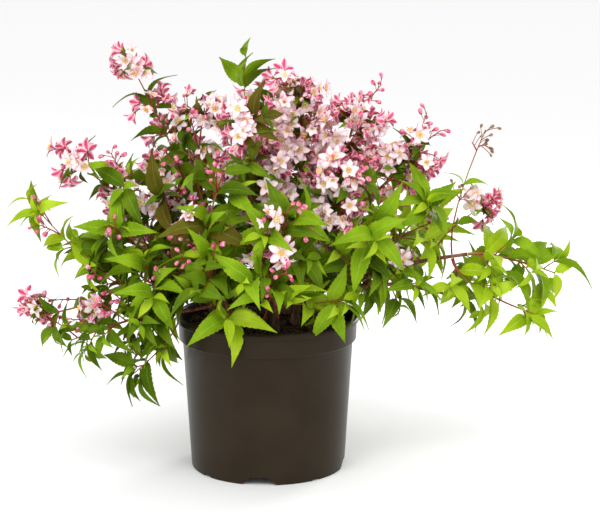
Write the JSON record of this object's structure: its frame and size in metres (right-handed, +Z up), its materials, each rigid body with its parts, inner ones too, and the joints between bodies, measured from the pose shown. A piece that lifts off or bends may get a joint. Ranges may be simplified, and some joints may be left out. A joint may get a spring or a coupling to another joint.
{
  "type": "potted deutzia shrub",
  "caption": "Low spreading flowering shrub with arching stems, pointed leaves and nodding pink and white flowers, standing in a round black nursery pot.",
  "frame": {"origin": "centre of the pot's flat underside", "axes": "+Z up along the pot's axis, +X to the right in the picture along the plant's widest spread, +Y to the back"},
  "size_m": [0.5921, 0.3875, 0.4573],
  "materials": {
    "pot": "moulded dark brown-black plastic, satin sheen",
    "compost": "dark crumbly fibrous compost",
    "stem_left": "thin woody stem, brown with redder young bark",
    "stem_front_left": "thin woody stem, brown with redder young bark",
    "stem_upper_left": "thin woody stem, brown with redder young bark",
    "stem_centre": "thin woody stem, brown with redder young bark",
    "stem_upper_right": "thin woody stem, brown with redder young bark",
    "stem_right": "thin woody stem, brown with redder young bark",
    "stem_right_back": "thin woody stem, brown with redder young bark",
    "stem_back_left": "thin woody stem, brown with redder young bark",
    "stem_back_right": "thin woody stem, brown with redder young bark",
    "stem_front": "thin woody stem, brown with redder young bark",
    "pruned_stem": "thin woody stem, brown with redder young bark",
    "bough_left": "thin woody stem, brown with redder young bark",
    "bough_left_low": "thin woody stem, brown with redder young bark",
    "bough_plume": "thin woody stem, brown with redder young bark",
    "bough_dome_right": "thin woody stem, brown with redder young bark",
    "bough_right": "thin woody stem, brown with redder young bark",
    "bough_right_low": "thin woody stem, brown with redder young bark",
    "bough_back_low_left": "thin woody stem, brown with redder young bark",
    "bough_back_low_right": "thin woody stem, brown with redder young bark",
    "plume_top_left": "pink and white five-petalled flowers over green leaves",
    "plume_left": "pink and white five-petalled flowers over green leaves",
    "far_left_spray": "thin toothed leaves, yellow-green to dark green",
    "left_upper": "thin toothed leaves, yellow-green to dark green",
    "left_middle": "thin toothed leaves, yellow-green to dark green",
    "left_low_tip": "thin toothed leaves, yellow-green to dark green",
    "left_low": "thin toothed leaves, yellow-green to dark green",
    "left_hang": "thin toothed leaves, yellow-green to dark green",
    "left_inner": "thin toothed leaves, yellow-green to dark green",
    "dome_left": "pink and white five-petalled flowers over green leaves",
    "top_shoot": "thin toothed leaves, yellow-green to dark green",
    "dome_centre": "pink and white five-petalled flowers over green leaves",
    "dome_right": "pink and white five-petalled flowers over green leaves",
    "dome_far_right": "pink and white five-petalled flowers over green leaves",
    "sprig_right": "pink and white five-petalled flowers over green leaves",
    "flower_right": "pink and white five-petalled flowers over green leaves",
    "right_front": "thin toothed leaves, yellow-green to dark green",
    "right_middle": "thin toothed leaves, yellow-green to dark green",
    "right_far": "thin toothed leaves, yellow-green to dark green",
    "right_far_low": "thin toothed leaves, yellow-green to dark green",
    "right_under": "thin toothed leaves, yellow-green to dark green",
    "right_back_low": "thin toothed leaves, yellow-green to dark green",
    "front_left": "thin toothed leaves, yellow-green to dark green",
    "front_centre": "thin toothed leaves, yellow-green to dark green",
    "front_low_left": "thin toothed leaves, yellow-green to dark green",
    "front_low": "thin toothed leaves, yellow-green to dark green",
    "rim_front_left": "thin toothed leaves, yellow-green to dark green",
    "rim_front_right": "thin toothed leaves, yellow-green to dark green",
    "dome_front": "pink and white five-petalled flowers over green leaves",
    "dome_front_right": "pink and white five-petalled flowers over green leaves",
    "back_left": "thin toothed leaves, yellow-green to dark green",
    "back_centre": "thin toothed leaves, yellow-green to dark green",
    "back_right": "thin toothed leaves, yellow-green to dark green",
    "back_low_left": "thin toothed leaves, yellow-green to dark green",
    "back_low_right": "thin toothed leaves, yellow-green to dark green",
    "back_top": "pink and white five-petalled flowers over green leaves",
    "left_back": "thin toothed leaves, yellow-green to dark green",
    "right_back": "thin toothed leaves, yellow-green to dark green"
  },
  "bodies": {
    "root": {"pot": "pot", "compost": "compost", "stem_left": "stem_left", "stem_front_left": "stem_front_left", "stem_upper_left": "stem_upper_left", "stem_centre": "stem_centre", "stem_upper_right": "stem_upper_right", "stem_right": "stem_right", "stem_right_back": "stem_right_back", "stem_back_left": "stem_back_left", "stem_back_right": "stem_back_right", "stem_front": "stem_front", "pruned_stem": "pruned_stem", "bough_left": "bough_left", "bough_left_low": "bough_left_low", "bough_plume": "bough_plume", "bough_dome_right": "bough_dome_right", "bough_right": "bough_right", "bough_right_low": "bough_right_low", "bough_back_low_left": "bough_back_low_left", "bough_back_low_right": "bough_back_low_right", "plume_top_left": "plume_top_left", "plume_left": "plume_left", "far_left_spray": "far_left_spray", "left_upper": "left_upper", "left_middle": "left_middle", "left_low_tip": "left_low_tip", "left_low": "left_low", "left_hang": "left_hang", "left_inner": "left_inner", "dome_left": "dome_left", "top_shoot": "top_shoot", "dome_centre": "dome_centre", "dome_right": "dome_right", "dome_far_right": "dome_far_right", "sprig_right": "sprig_right", "flower_right": "flower_right", "right_front": "right_front", "right_middle": "right_middle", "right_far": "right_far", "right_far_low": "right_far_low", "right_under": "right_under", "right_back_low": "right_back_low", "front_left": "front_left", "front_centre": "front_centre", "front_low_left": "front_low_left", "front_low": "front_low", "rim_front_left": "rim_front_left", "rim_front_right": "rim_front_right", "dome_front": "dome_front", "dome_front_right": "dome_front_right", "back_left": "back_left", "back_centre": "back_centre", "back_right": "back_right", "back_low_left": "back_low_left", "back_low_right": "back_low_right", "back_top": "back_top", "left_back": "left_back", "right_back": "right_back"}
  },
  "joints": []
}
